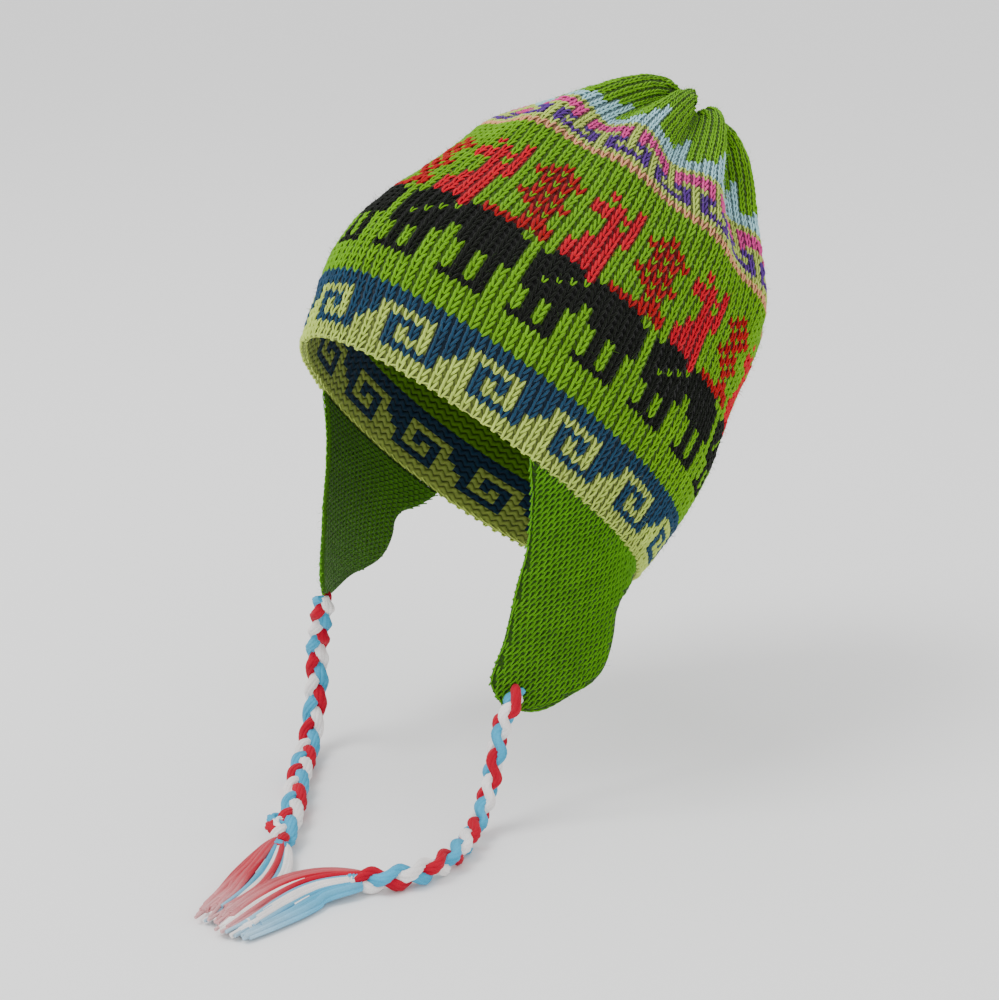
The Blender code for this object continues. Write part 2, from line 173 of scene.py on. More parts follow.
class Recipe(Nodes):
    # A geometry tree with named inputs; runTree reads them
    def __init__(self, name, sizes):
        super().__init__(bpy.data.node_groups.new(name, "GeometryNodeTree"))
        self.addSocket("Geometry", "Geometry")
        for key, value in sizes.items():
            self.addSocket(key, "Int" if isinstance(value, int) else "Float").default_value = value
        self.addSocket("Material", "Material")
        self.addSocket("Geometry", "Geometry", "OUTPUT")
        self.start = self.tree.nodes.new("NodeGroupInput").outputs

    def addSocket(self, name, kind, way="INPUT"):
        return self.tree.interface.new_socket(name=name, in_out=way, socket_type="NodeSocket" + kind)

    def tube(self, path, radius, rounds, caps):
        ring = self.add("GeometryNodeCurvePrimitiveCircle", {"mode": "RADIUS"},
                        Resolution=rounds, Radius=1.0)
        return self.add("GeometryNodeCurveToMesh", Curve=path, Profile_Curve=ring, Scale=radius,
                        Fill_Caps=caps)

    def smooth(self, shape):
        return self.add("GeometryNodeSetShadeSmooth", Geometry=shape, Shade_Smooth=True)

    def named(self, name, kind="FLOAT_VECTOR"):
        return self.add("GeometryNodeInputNamedAttribute", {"data_type": kind}, Name=name)

    def finish(self, shape):
        real = self.add("GeometryNodeRealizeInstances", Geometry=shape)
        painted = self.add("GeometryNodeSetMaterial", Geometry=real, Material=self.start["Material"])
        self.plug(self.tree.nodes.new("NodeGroupOutput").inputs[0], painted)
        return self.tree


def runTree(piece, tree, values):
    # Runs a node tree on the piece and keeps the result as a plain mesh
    modifier = piece.modifiers.new("nodes", "NODES")
    modifier.node_group = tree
    for item in tree.interface.items_tree:
        if item.item_type == "SOCKET" and item.in_out == "INPUT" and item.name in values:
            modifier[item.identifier] = values[item.name]
    graph = bpy.context.evaluated_depsgraph_get()
    mesh = bpy.data.meshes.new_from_object(piece.evaluated_get(graph), depsgraph=graph)
    mesh.name = piece.name
    piece.modifiers.remove(modifier)
    old = piece.data
    piece.data = mesh
    bpy.data.meshes.remove(old)
    return piece


def addObject(name, mesh, *materials):
    piece = bpy.data.objects.new(name, mesh)
    bpy.context.scene.collection.objects.link(piece)
    for material in materials:
        mesh.materials.append(material)
    return piece


def newMesh(name, points, edges=(), faces=()):
    mesh = bpy.data.meshes.new(name)
    mesh.from_pydata([tuple(p) for p in points], edges, faces)
    return mesh


def setValues(mesh, name, kind, values, domain="POINT"):
    field = {"FLOAT": "value", "FLOAT_VECTOR": "vector", "FLOAT_COLOR": "color"}[kind]
    attribute = mesh.attributes.new(name, kind, domain)
    attribute.data.foreach_set(field, np.asarray(values, np.float32).ravel())


def paint(mesh, tints, domain="POINT"):
    tints = np.array(tints)
    setValues(mesh, "tint", "FLOAT_COLOR", np.concatenate([tints, np.ones((len(tints), 1))], 1), domain)


def gridFaces(rows, columns, wrap):
    # Row, column and corners of each face of a grid; wrap joins its last column to its first
    for i in range(rows - 1):
        a, b = i * columns, (i + 1) * columns
        for j in range(columns if wrap else columns - 1):
            k = (j + 1) % columns
            yield i, j, (a + j, a + k, b + k, b + j)


# Wool: one finish for all, in the yarn's own tint; the cloth's version is darkened with painted shade
woolLook = {
    "roughness": 0.92,
    "sheen": 0.06,
    "sheenRoughness": 0.5,
    "specular": 0.2,
    "patchScale": 90.0,  # slow dye variation, per metre
    "patchAmount": 0.22,
    "fibreScale": 2600.0,  # single fibres
    "fibreAmount": 0.30,
    "fibreBump": 0.00018,
    # painted shade: the cloth shows only between the stitches and on the hat's inside, where shade falls
    "clothPaintedShade": 0.62,
    "purlBump": 0.0011,  # the wrong side's bumps
    "purlFibre": 0.12,  # what the fibres add to them
    "purlRound": 0.7,
    "purlSwing": 0.22,  # of a row
    "purlPaintedShade": 0.45,  # painted shade: how much darker it is between the bumps
}


def woolMaterial(name, paintedShade=1.0, bump=1.0, purl=False):
    look = Look(name)
    tint = look.add("ShaderNodeAttribute", {"attribute_name": "tint"}).outputs["Color"]
    place = look.add("ShaderNodeTexCoord").outputs["Object"]

    def noise(scale, detail):
        return look.value(look.add("ShaderNodeTexNoise", Vector=place, Scale=scale, Detail=detail))

    def uneven(source, amount):
        return source * amount * 2 + (1 - amount)

    patch, fibre = noise(woolLook["patchScale"], 3.0), noise(woolLook["fibreScale"], 2.0)
    shade = uneven(patch, woolLook["patchAmount"]) * uneven(fibre, woolLook["fibreAmount"])
    # a material that carries painted shade is darkened here as a whole
    colour = look.shaded(tint, shade * paintedShade)
    height, depth = fibre, woolLook["fibreBump"] * bump
    if purl:  # the wrong side: rows of low purl bumps, read from the cloth's own UV, with painted shade between them
        uv = look.add("ShaderNodeUVMap", {"uv_map": "cloth"})
        parts = look.add("ShaderNodeSeparateXYZ", Vector=uv)
        across, along = (look.value(parts.outputs[k]) for k in range(2))
        swing = (across * (2 * math.pi)).sine() * woolLook["purlSwing"]
        ridge = ((along + swing) * math.pi).sine().size().power(woolLook["purlRound"])
        arch = (across * (2 * math.pi) + 1.2).sine() * 0.25 + 0.75
        height, depth = ridge * arch + fibre * woolLook["purlFibre"], woolLook["purlBump"]
        # painted shade in the hollows between the purl bumps
        colour = look.shaded(colour, 1 - (1 - ridge) * woolLook["purlPaintedShade"])
    return look.finish({
        "Base Color": colour,
        "Normal": look.add("ShaderNodeBump", Height=height, Distance=depth, Strength=1.0),
        "Roughness": woolLook["roughness"],
        "Sheen Weight": woolLook["sheen"],
        "Sheen Roughness": woolLook["sheenRoughness"],
        "Specular IOR Level": woolLook["specular"],
    })


stitchWool = woolMaterial("stitch wool")
# the cloth's colour carries painted shade, darker where the stitches and the hat shade it
clothWool = woolMaterial("cloth wool", paintedShade=woolLook["clothPaintedShade"], purl=True)
braidWool = woolMaterial("braid wool")
fuzzWool = woolMaterial("wool fuzz", bump=0.0)
print("materials made")


# Yarn colours, as they look in daylight
yarn = {
    "G": (100, 156, 0),  # bright green
    "F": (76, 138, 0),  # the flaps' green
    "L": (176, 198, 88),  # yellow-green
    "N": (26, 62, 88),  # petrol blue
    "K": (6, 11, 2),  # near black
    "R": (196, 0, 34),  # red
    "D": (160, 6, 14),  # the plants' rusty red
    "P": (210, 60, 140),  # pink
    "V": (84, 44, 130),  # violet
    "O": (218, 152, 112),  # peach
    "B": (160, 206, 214),  # pale blue
    "r": (176, 0, 38),  # braid red
    "b": (58, 158, 196),  # braid blue
    "w": (234, 230, 228),  # braid white
}


def toLinear(rgb):
    shares = [c / 255 for c in rgb]
    return tuple(c / 12.92 if c <= 0.04045 else ((c + 0.055) / 1.055) ** 2.4 for c in shares)


tintOf = {key: toLinear(rgb) for key, rgb in yarn.items()}


# Crown: the same named sizes and sections as the solid part
crown = {
    "rimHalfWidth": 0.079,
    "rimHalfLength": 0.0945,
    "foreheadTaper": 0.125,
    "sideFlattening": 0.042,
    "lean": math.radians(42.9),
    "stitches": 108,
    "rows": 75,
    "height": 0.1905,
    "pleatDepth": 0.0046,
    "firstWale": 10.6,
    "planFade": 0.63,  # how far up the rim's own plan is felt
    "outerInset": 0.0009,  # the cloth lies this far under the stitches' faces
    "wall": 0.003,
}

# Shares of the sizes above; turn is in stitches
sectionColumns = ("along", "rise", "girth", "back", "turn", "pleat")
crownSections = np.array((
    (0.000, 0.000, 1.000, 0.020, 1.32, 0.00),
    (0.077, 0.094, 1.038, 0.006, 1.16, 0.00),
    (0.154, 0.189, 1.068, -0.014, 0.95, 0.00),
    (0.231, 0.284, 1.064, -0.014, 0.70, 0.00),
    (0.308, 0.379, 1.021, -0.004, 0.37, 0.00),
    (0.385, 0.472, 0.966, 0.022, -0.03, 0.00),
    (0.461, 0.568, 0.922, 0.058, -0.60, 0.08),
    (0.538, 0.663, 0.866, 0.077, -1.35, 0.38),
    (0.577, 0.706, 0.806, 0.071, -1.85, 0.56),
    (0.615, 0.746, 0.741, 0.066, -2.35, 0.70),
    (0.654, 0.784, 0.674, 0.060, -2.65, 0.80),
    (0.692, 0.823, 0.607, 0.055, -2.76, 0.88),
    (0.769, 0.901, 0.476, 0.048, -2.72, 1.00),
    (0.846, 0.966, 0.339, 0.043, -2.65, 1.00),
    (0.923, 1.003, 0.184, 0.038, -2.55, 0.80),
    (1.000, 0.998, 0.040, 0.036, -2.50, 0.10),
))
slopeStep = 0.01  # over which a slope is taken, in shares or radians
pleatValleys = (-1.5, 8.5, 19.5, 30.5, 42.0, 52.5, 63.5, 74.5, 85.5, 96.0)
pleatRidges = (3.0, 14.0, 25.0, 36.0, 47.0, 58.0, 69.0, 80.0, 91.0, 101.5)
pleatMarks = sorted([(wale, -1.0) for wale in pleatValleys] + [(wale, 1.0) for wale in pleatRidges])
pleatMarks.append((pleatMarks[0][0] + crown["stitches"], -1.0))
pleatAt, pleatHigh = np.array(pleatMarks).T


def unit(v):
    return v / np.maximum(np.linalg.norm(v, axis=-1, keepdims=True), 1e-12)


def lengthsAlong(points):
    return np.concatenate([[0.0], np.cumsum(np.linalg.norm(np.diff(points, axis=0), axis=1))])


def readAlong(places, steps, points):
    return np.stack([np.interp(places, steps, points[:, k]) for k in range(3)], -1)


def cubic(t, start, end, slopeIn, slopeOut):
    # A smooth step from start to end, with its slopes for the whole step
    return (start * (2 * t ** 3 - 3 * t ** 2 + 1) + slopeIn * (t ** 3 - 2 * t ** 2 + t)
            + end * (3 * t ** 2 - 2 * t ** 3) + slopeOut * (t ** 3 - t ** 2))


def readSection(name, along):
    x, y = crownSections[:, 0], crownSections[:, sectionColumns.index(name)]
    last = len(x) - 1
    k = np.clip(np.searchsorted(x, along, side="left") - 1, 0, last - 1)
    x0, x1, y0, y1 = x[k], x[k + 1], y[k], y[k + 1]
    slope = (y1 - y0) / (x1 - x0)
    lower, upper = np.maximum(k - 1, 0), np.minimum(k + 2, last)
    before = np.where(k > 0, (y1 - y[lower]) / np.where(k > 0, x1 - x[lower], 1), slope)
    after = np.where(k < last - 1, (y[upper] - y0) / np.where(k < last - 1, x[upper] - x0, 1), slope)
    t, span = (along - x0) / (x1 - x0), x1 - x0
    return cubic(t, y0, y1, before * span, after * span)


def planPoint(angle, fade):
    s, c = np.sin(angle), np.cos(angle)
    x = crown["rimHalfWidth"] * s * (1 - crown["foreheadTaper"] * fade * c)
    y = -crown["rimHalfLength"] * c * (1 - crown["sideFlattening"] * fade * s ** 2)
    return np.stack([x, y, np.zeros_like(x)], -1)


def planNormal(angle, fade):
    along = planPoint(angle + slopeStep, fade) - planPoint(angle - slopeStep, fade)
    return unit(np.stack([along[..., 1], -along[..., 0], np.zeros_like(along[..., 0])], -1))


fineAngles = np.linspace(0, 2 * math.pi, 2161)
rimLengths = lengthsAlong(planPoint(fineAngles, np.ones(len(fineAngles))))
rimLengths = rimLengths / rimLengths[-1] * crown["stitches"]


def stitchAngle(stitch):
    turns = np.floor(stitch / crown["stitches"])
    return 2 * math.pi * turns + np.interp(stitch - turns * crown["stitches"], rimLengths, fineAngles)


def leanForward(p):
    c, s = math.cos(crown["lean"]), math.sin(crown["lean"])
    return np.stack([p[..., 0], p[..., 1] * c + p[..., 2] * s, -p[..., 1] * s + p[..., 2] * c], -1)


def pleatWave(wale):
    place = (wale - pleatAt[0]) % crown["stitches"] + pleatAt[0]
    k = np.clip(np.searchsorted(pleatAt, place, side="right") - 1, 0, len(pleatAt) - 2)
    t = (place - pleatAt[k]) / (pleatAt[k + 1] - pleatAt[k])
    return pleatHigh[k] + (pleatHigh[k + 1] - pleatHigh[k]) * (1 - np.cos(math.pi * t)) / 2


def crownPoint(wale, along, inset):
    wale, along = np.broadcast_arrays(np.asarray(wale, float), np.asarray(along, float))
    low, high = np.maximum(along - slopeStep, 0), np.minimum(along + slopeStep, 1)
    up = (readSection("rise", high) - readSection("rise", low)) * crown["height"]
    meanRadius = (crown["rimHalfWidth"] + crown["rimHalfLength"]) / 2
    outward = (readSection("girth", high) - readSection("girth", low)) * meanRadius
    size = np.hypot(up, outward)
    fade = np.maximum(0, 1 - along / crown["planFade"])
    angle = stitchAngle(crown["firstWale"] + wale + readSection("turn", along))
    push = readSection("pleat", along) * crown["pleatDepth"] * pleatWave(wale) - inset
    point = planPoint(angle, fade) * readSection("girth", along)[..., None]
    point = point + planNormal(angle, fade) * (push * up / size)[..., None]
    point[..., 1] += readSection("back", along) * crown["rimHalfLength"]
    point[..., 2] += readSection("rise", along) * crown["height"] - push * outward / size
    return leanForward(point)


# Colour work, charted from the rim up; a string is one row's repeat, read toward the
# wearer's left
fretRows = ("LLLLLLLL", "LLLLLLLL", "LNNNNNLL", "LNLLLNLL", "LNLNLNNL", "LNNNLNNN", "LLLLLNNN",
            "NNNNNNNN", "NNNNNNNN")
llamaRows = ("GKKKKGGKKKKG", "GGKGKGGGKGKG", "GGKGKGGGKGKG", "GGKGKGGGKGKG", "GKKKKGGGKGKG",
             "GKKKKKGKKKKK", "GKGKKKGKKKKK", "GKKGKKKKKKKK", "GKKKGKKKKKKK", "GKKKKGKKKKKK",
             "GGKKKRKKKKKG")
animalRows = ("DGRRRRGDDDDG", "DGRRRRGGGGDD", "GGRRRRGGGGGD", "GGGRRRGGGGDG", "GGGRRRGGGDGD",
              "DGGGRRGGDGDG", "GGGGRRRGGDGD", "GGGGRRRGGGDG", "GGRRRGRGGDGD", "DGRRRRRGDGDG",
              "GGGGRGRGGDGD", "GGGRGGRGGGDG")
keyRows = ("VVVVVL", "VLLLVL", "VVLVVL", "LPLPLL", "PPLPPP", "PPLPPP")
toothHeights = (3, 3, 5, 7, 2, 2)
chart = [*fretRows, *"GGGG", *llamaRows, *animalRows, *"GGGG", "O", "L", *keyRows, "L"]
for n in range(max(toothHeights)):
    chart.append("".join("B" if n < height else "G" for height in toothHeights))
backSeam = 44  # the stitch at which the rounds begin, at the back
figures = {"firstRow": 13, "lastRow": 35, "headRow": 19, "headStitches": range(2, 6)}


def yarnAt(wale, row):
    w = math.floor(wale) % crown["stitches"]
    if w >= backSeam:  # the rounds join at the back, so the chart counts down from the front there
        w -= crown["stitches"]
    line = chart[row] if row < len(chart) else "G"
    return line[w % len(line)]


def sunkIn(wale, row):
    # The dark yarn round this single green stitch, which it pulls in; None for any other stitch
    if not figures["firstRow"] <= row <= figures["lastRow"] or yarnAt(wale, row) != "G":
        return None
    beside = {yarnAt(wale - 1, row), yarnAt(wale + 1, row)}
    if beside == {"K"} and row >= figures["headRow"]:
        if math.floor(wale) % len(llamaRows[0]) in figures["headStitches"]:
            return "K"
    if beside == {"D"}:
        return "D"
    return "D" if yarnAt(wale, row - 1) == yarnAt(wale, row + 1) == "D" else None


outerShade = 0.45  # what shows between the stitches is in their shadow


def closedSheet(name, outer, inner, wrap, tints, uvs):
    # A cloth with an outer and an inner face, grids of points [row, column]; wrap joins its last
    # column to its first and draws its last row together into a point
    rows, columns = outer.shape[:2]
    side, top, last = rows * columns, (rows - 1) * columns, columns - 1
    across = columns if wrap else last
    points = [outer.reshape(-1, 3), inner.reshape(-1, 3)]
    if wrap:
        points += [outer[-1].mean(0)[None], inner[-1].mean(0)[None]]
    faces, cornerTint, cornerUv = [], [], []

    def addFace(corners, tint, uv=None):
        faces.append(corners)
        cornerTint.extend([tint] * len(corners))
        cornerUv.extend(uv or [(0.0, 0.0)] * len(corners))

    for i, j, (a, b, c, d) in gridFaces(rows, columns, wrap):
        tint = tints(i, j)
        u0, u1, v0, v1 = uvs(i, j)
        addFace((a, b, c, d), tuple(part * outerShade for part in tint),
                [(u0, v0), (u1, v0), (u1, v1), (u0, v1)])
        addFace((side + b, side + a, side + d, side + c), tint, [(u1, v0), (u0, v0), (u0, v1), (u1, v1)])
    for j in range(across):
        k = (j + 1) % columns
        tint = tints(rows - 2, j)
        addFace((k, j, side + j, side + k), tints(0, j))
        if wrap:
            addFace((top + j, top + k, 2 * side), tint)
            addFace((side + top + k, side + top + j, 2 * side + 1), tint)
        else:
            addFace((top + j, top + k, side + top + k, side + top + j), tint)
    if not wrap:
        for i in range(rows - 1):
            a, b = i * columns, (i + 1) * columns
            addFace((a, b, side + b, side + a), tints(i, 0))
            addFace((b + last, a + last, side + a + last, side + b + last), tints(i, across - 1))
    mesh = newMesh(name, np.concatenate(points), faces=faces)
    paint(mesh, cornerTint, "CORNER")
    layer = mesh.uv_layers.new(name="cloth")
    layer.data.foreach_set("uv", np.array(cornerUv, np.float32).ravel())
    mesh.shade_smooth()
    return addObject(name, mesh, clothWool)


def makeCrownCloth():
    wales, alongs = np.meshgrid(np.arange(crown["stitches"]), np.linspace(0, 1, crown["rows"] + 1))
    outer = crownPoint(wales, alongs, crown["outerInset"])
    inner = crownPoint(wales, alongs, crown["wall"])
    return closedSheet("crown_cloth", outer, inner, True,
                       lambda i, j: tintOf[sunkIn(j, i) or yarnAt(j, i)],
                       lambda i, j: (j, j + 1, i, i + 1))


crownCloth = makeCrownCloth()
print("crown cloth", len(crownCloth.data.polygons), "faces")


# Knit stitches: one V of two yarn legs, set on every point of a stitch cloud
stitchSizes = {
    "Leg Spread": 0.25,  # of a stitch's width, to the middle of a leg's top
    "Leg Reach": 0.80,  # of a row, past the stitch's middle both ways
    "Yarn Radius": 0.24,
    "Puff": 0.20,  # how far the leg's middle arches out
    "Sides": 4,
    "Segments": 4,
}


def stitchTree():
    tree = Recipe("knit stitches", stitchSizes)
    spread, reach, puff, radius = (
        tree.value(tree.start[name]) for name in ("Leg Spread", "Leg Reach", "Puff", "Yarn Radius"))

    def spot(x, y, z):
        return tree.add("ShaderNodeCombineXYZ", X=x, Y=y, Z=z)

    leg = tree.add("GeometryNodeCurvePrimitiveBezierSegment", Resolution=tree.start["Segments"],
                   Start=spot(0.07, reach * -1.0, -0.05),
                   Start_Handle=spot(spread * 0.75, reach * -0.45, puff),
                   End_Handle=spot(spread * 1.10, reach * 0.30, puff),
                   End=spot(spread * 1.22, reach * 0.95, -0.12))
    share = tree.value(tree.add("GeometryNodeSplineParameter").outputs["Factor"])
    swell = (share * 2.5 + 0.32).sine().power(0.6)
    body = tree.tube(leg, swell * radius, tree.start["Sides"], True)
    twin = tree.add("GeometryNodeTransform", Geometry=body, Scale=(-1.0, 1.0, 1.0))
    both = tree.add("GeometryNodeJoinGeometry", Geometry=body)
    tree.plug(both.inputs[0], tree.add("GeometryNodeFlipFaces", Mesh=twin))
    turn = tree.add("FunctionNodeEulerToRotation", Euler=tree.named("aim"))
    return tree.finish(tree.add("GeometryNodeInstanceOnPoints", Points=tree.start["Geometry"],
                                Instance=tree.smooth(both), Rotation=turn, Scale=tree.named("size")))


knitTree = stitchTree()

# How stitches are laid: lengths in metres
knit = {
    "depth": 0.0046,  # of a crown stitch, out of the cloth
    "depthPerWidth": 1.1,  # the most that it may be, where stitches are narrow
    "sink": 0.0001,  # their feet lie this far under the cloth's face
    "rowShare": 0.98,
    "pairsFrom": 66,  # from these rows on, two and then four stitches are worked as one
    "foursFrom": 72,
    "sunk": 0.68,  # size of the single green stitches
    "plants": 1.14,  # size of the plants' stitches
    "tilt": 0.07,  # unevenness by hand: radians, metres, then shares
    "shove": 0.00012,
    "swell": 0.045,
    "shade": 0.06,
    "seed": 7,
}


def turnsFrom(right, up, out):
    # Euler turns of the frames whose axes are these vectors
    return np.stack([np.arctan2(up[:, 2], out[:, 2]), np.arcsin(np.clip(-right[:, 2], -1, 1)),
                     np.arctan2(right[:, 1], right[:, 0])], -1)


def stitchCloud(name, points, right, up, depth, tints, seed):
    # right and up are whole stitch widths and rows; depth is the yarn's reach out of the cloth;
    # depth and tints are one for all or one for each stitch
    luck = np.random.default_rng(seed)
    count = len(points)
    width, height = np.linalg.norm(right, axis=1), np.linalg.norm(up, axis=1)
    out, rightUnit = unit(np.cross(right, up)), unit(right)
    upUnit = np.cross(out, rightUnit)
    tilt = luck.normal(0, knit["tilt"], count)[:, None]
    rightUnit, upUnit = unit(rightUnit + upUnit * tilt), unit(upUnit - rightUnit * tilt)
    mesh = newMesh(name, points + out * luck.normal(0, knit["shove"], count)[:, None])
    swell = luck.normal(1, knit["swell"], count)
    shade = luck.normal(1, knit["shade"], count)[:, None]
    setValues(mesh, "aim", "FLOAT_VECTOR", turnsFrom(rightUnit, upUnit, out))
    size = np.stack([width * swell, height * swell, depth * swell], -1)
    setValues(mesh, "size", "FLOAT_VECTOR", size)
    paint(mesh, np.array(tints) * shade)
    print(name, count, "stitches")
    return runTree(addObject(name, mesh), knitTree, {**stitchSizes, "Material": stitchWool})


# Bands of the crown, each a piece of its own: first row, and the row after the last
crownBands = {
    "stitches_fret": (0, 13),
    "stitches_llamas": (13, 24),
    "stitches_animals": (24, 36),
    "stitches_key": (36, 49),
    "stitches_top": (49, 75),
}


def stitchesAsOne(row):
    return 1 if row < knit["pairsFrom"] else 2 if row < knit["foursFrom"] else 4


def stitchSwell(wale, row):
    if sunkIn(wale, row):
        return knit["sunk"]
    return knit["plants"] if yarnAt(wale, row) == "D" else 1.0


def crownStitches(name, firstRow, endRow):
    cells = [(wale, row) for row in range(firstRow, endRow)
             for wale in range(0, crown["stitches"], stitchesAsOne(row))]
    wales, rows = np.array(cells, float).T
    half = np.array([stitchesAsOne(row) / 2 for wale, row in cells])
    middle, along = wales + half, (rows + 0.5) / crown["rows"]
    halfRow = 0.5 / crown["rows"] * knit["rowShare"]
    inset = crown["outerInset"] + knit["sink"]
    right = crownPoint(middle + half, along, inset) - crownPoint(middle - half, along, inset)
    up = crownPoint(middle, along + halfRow, inset) - crownPoint(middle, along - halfRow, inset)
    depth = np.minimum(knit["depth"], np.linalg.norm(right, axis=1) * knit["depthPerWidth"])
    swell = np.array([stitchSwell(*cell) for cell in cells])
    tints = [tintOf[yarnAt(*cell)] for cell in cells]
    return stitchCloud(name, crownPoint(middle, along, inset), right * swell[:, None],
                       up * swell[:, None], depth * swell, tints, knit["seed"] + firstRow)


crownPieces = [crownStitches(name, *rows) for name, rows in crownBands.items()]

# A chain of edge stitches closes the rim
rimEdge = {"along": 0.002, "across": 0.0036, "length": 0.9, "depth": 0.0034, "seed": 3}


def rimChain():
    wales = np.arange(crown["stitches"]) + 0.5
    points = (crownPoint(wales, rimEdge["along"], crown["outerInset"])
              + crownPoint(wales, rimEdge["along"], crown["wall"])) / 2
    along = crownPoint(wales + 0.5, 0.0, 0.001) - crownPoint(wales - 0.5, 0.0, 0.001)
    out = unit(crownPoint(wales, 0.0, 0.0) - crownPoint(wales, 0.05, 0.0))
    right = unit(np.cross(along, out)) * rimEdge["across"]
    return stitchCloud("rim_chain", points, right, along * rimEdge["length"], rimEdge["depth"],
                       tintOf["L"], rimEdge["seed"])


crownPieces.append(rimChain())


# Ear flaps: one cloth each from the rim down, its stitches, and a chain round the free edge
flap = {
    "frontStitch": 19.8,
    "span": 17.7,  # stitches of the rim
    "shift": 0.4,
    "jaw": 0.095,  # how far it leans in, per length
    "inset": 0.0002,
    "gap": 0.0003,
    "wall": 0.0026,
    "outerInset": 0.0008,
    "seamBlend": 0.12,
    "width": 0.0892,
    "length": {"left": 0.113, "right": 0.105},
    "swing": {"left": 0.0, "right": 0.34},
    "stitchWidth": 0.0034,
    "rowHeight": 0.0026,
    "stitchDepth": 0.0036,
    "margin": 0.6,  # of a stitch, from the cloth's edge
    "rows": 38,
    "columns": 26,
    "flatArea": {"left": 0.0049, "right": 0.0047},
    "seed": 40,
    "fuzzSeed": 3,
}
flapEdge = {"spacing": 0.0033, "reach": 0.0016, "length": 1.05, "moveIn": 0.0009, "across": 0.0030,
            "depth": 0.0040, "seed": 60}

# front, front_drop, rear, rear_drop, belly, from the seam to the hem
flapRows = np.array((
    (0.000, 0.000, 1.000, 0.000, 0.00),
    (0.020, 0.100, 0.900, 0.095, 0.00),
    (0.025, 0.220, 0.775, 0.195, 0.00),
    (0.010, 0.360, 0.715, 0.280, 0.00),
    (-0.030, 0.500, 0.705, 0.365, 0.00),
    (-0.055, 0.620, 0.672, 0.460, 0.00),
    (-0.085, 0.750, 0.613, 0.550, 0.00),
    (-0.125, 0.860, 0.510, 0.645, 0.01),
    (-0.144, 0.940, 0.389, 0.733, 0.02),
    (-0.085, 0.985, 0.240, 0.850, 0.03),
))


def rimPoint(stitch, inset, drop):
    angle = stitchAngle(stitch)
    ones = np.ones_like(angle)
    point = planPoint(angle, ones) - planNormal(angle, ones) * inset
    point[..., 1] += crownSections[0, sectionColumns.index("back")] * crown["rimHalfLength"]
    point[..., 2] -= drop
    return leanForward(point)


def flapPoint(side, across, drop, inset):
    across, drop = np.broadcast_arrays(np.asarray(across, float), np.asarray(drop, float))
    sign = sides[side]
    across = across - flap["swing"][side] * np.maximum(drop, 0) ** 1.5
    fall = drop * flap["length"][side]
    hang = np.stack([-sign * flap["jaw"] * fall, np.zeros_like(fall), -fall], -1)

    def seamPoint(move, deeper, gap):
        stitch = flap["frontStitch"] + flap["shift"] * sign + (across + move) * flap["span"]
        return rimPoint(sign * stitch, flap["inset"] + deeper, gap)

    run = unit(seamPoint(0.02, 0, 0.0) - seamPoint(-0.02, 0, 0.0))
    normal = unit(np.cross(run, unit(np.array([-sign * flap["jaw"], 0.0, -1.0]))))
    normal = np.where((normal[..., :1] * sign) < 0, -normal, normal)
    hung = seamPoint(0, 0, flap["gap"]) + hang - normal * inset
    sewn = seamPoint(0, inset, flap["gap"]) + hang
    blend = np.minimum(1, drop / flap["seamBlend"])[..., None]
    return sewn * (1 - blend) + hung * blend


def flapRow(station):
    # One row of the table, read smoothly between its own rows
    last = len(flapRows) - 1
    k = np.clip(station, 0, last)
    low = np.clip(np.floor(k).astype(int), 0, last - 1)
    p0, p1, p2, p3 = (flapRows[np.clip(low + n, 0, last)] for n in (-1, 0, 1, 2))
    slopeIn = np.where((low > 0)[:, None], (p2 - p0) / 2, p2 - p1)
    slopeOut = np.where((low < last - 1)[:, None], (p3 - p1) / 2, p2 - p1)
    return cubic((k - low)[:, None], p1, p2, slopeIn, slopeOut)


def flapGrid(rows, columns):
    table = flapRow(np.linspace(0, len(flapRows) - 1, rows))
    front, frontDrop, rear, rearDrop, belly = table.T[:, :, None]
    u = np.linspace(0, 1, columns)[None, :]
    across = front + (rear - front) * u
    drop = frontDrop + (rearDrop - frontDrop) * u + belly * np.sin(math.pi * u)
    return across, np.maximum(drop, 0)


def flapOutline():
    across, drop = flapGrid(60, 30)
    front = np.stack([across[:, 0], drop[:, 0]], -1)
    hem = np.stack([across[-1, 1:], drop[-1, 1:]], -1)
    rear = np.stack([across[::-1, -1], drop[::-1, -1]], -1)[1:]
    return np.concatenate([front, hem, rear])


def insideOutline(a, b, outline):
    hit = np.zeros(a.shape, bool)
    for (x0, y0), (x1, y1) in zip(outline, np.roll(outline, -1, axis=0)):
        if y0 != y1:
            hit ^= ((y0 > b) != (y1 > b)) & (a < (x1 - x0) * (b - y0) / (y1 - y0) + x0)
    return hit


def makeFlapCloth(side, wide, tall):
    across, drop = flapGrid(flap["rows"], flap["columns"])
    outer = flapPoint(side, across, drop, flap["outerInset"])
    inner = flapPoint(side, across, drop, flap["wall"])
    across, drop, outer, inner = (grid[::-1, ::sides[side]] for grid in (across, drop, outer, inner))
    return closedSheet("flap_cloth_" + side, outer, inner, False,
                       lambda i, j: tintOf["F"],
                       lambda i, j: (across[i, j] * wide, across[i, j + 1] * wide,
                                     drop[i, j] * tall, drop[i + 1, j] * tall))


